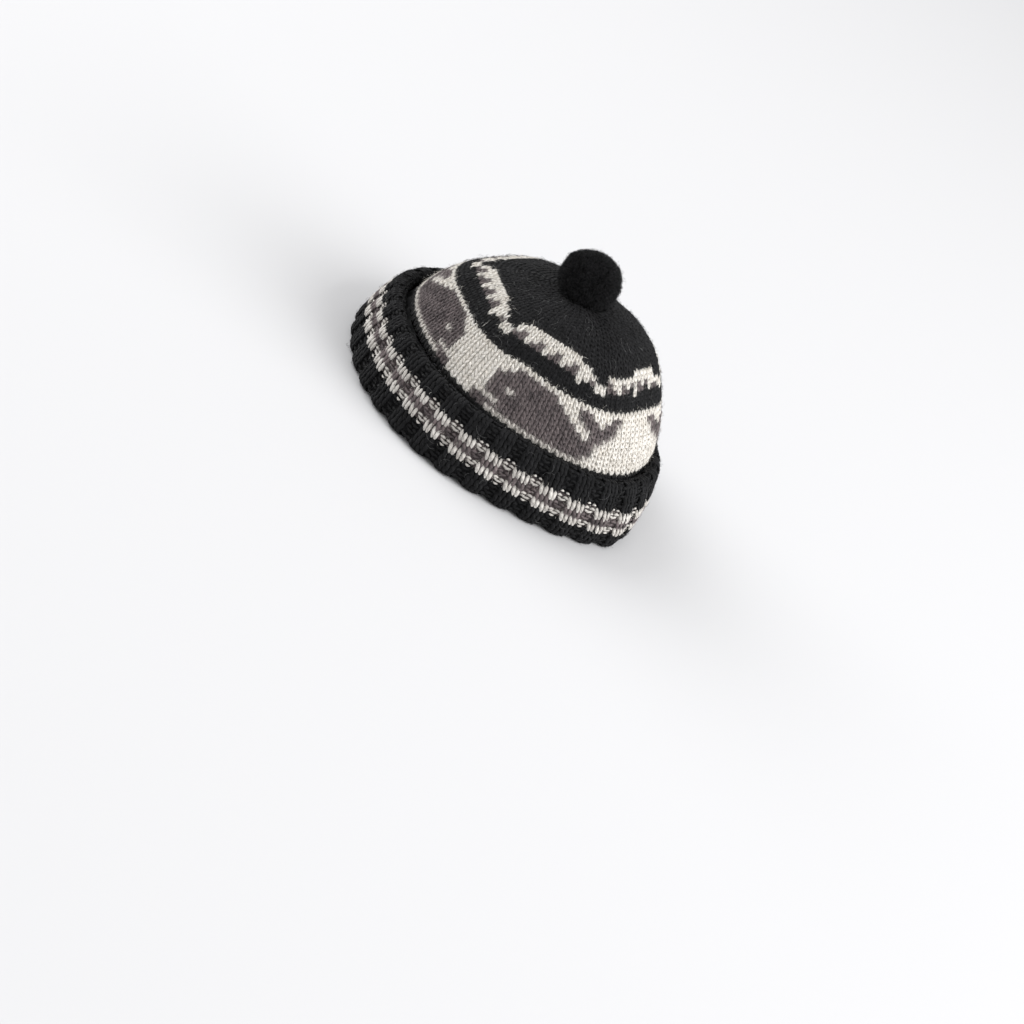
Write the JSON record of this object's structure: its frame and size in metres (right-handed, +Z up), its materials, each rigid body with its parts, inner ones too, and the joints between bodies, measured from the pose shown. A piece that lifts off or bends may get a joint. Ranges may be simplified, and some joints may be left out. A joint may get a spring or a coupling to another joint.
{
  "type": "knit cap",
  "caption": "Soft dome-shaped knit cap, hollow for a head, with a turned-up ribbed cuff it stands on and a ball of cut yarn on its top.",
  "frame": {"origin": "on the surface the cap stands on, under the middle of its box", "axes": "+Z up through the pompom, -Y towards the front of the cap, +X towards the wearer's left"},
  "size_m": [0.1838, 0.2064, 0.1236],
  "materials": {
    "black_wool": "matt, fuzzy two-ply wool, nearly black",
    "cream_wool": "matt, fuzzy two-ply wool, natural cream",
    "grey_wool": "matt, fuzzy two-ply wool, warm mid grey"
  },
  "bodies": {
    "root": {"crown": "cream_wool", "cuff": "black_wool", "pompom": "black_wool"}
  },
  "joints": []
}
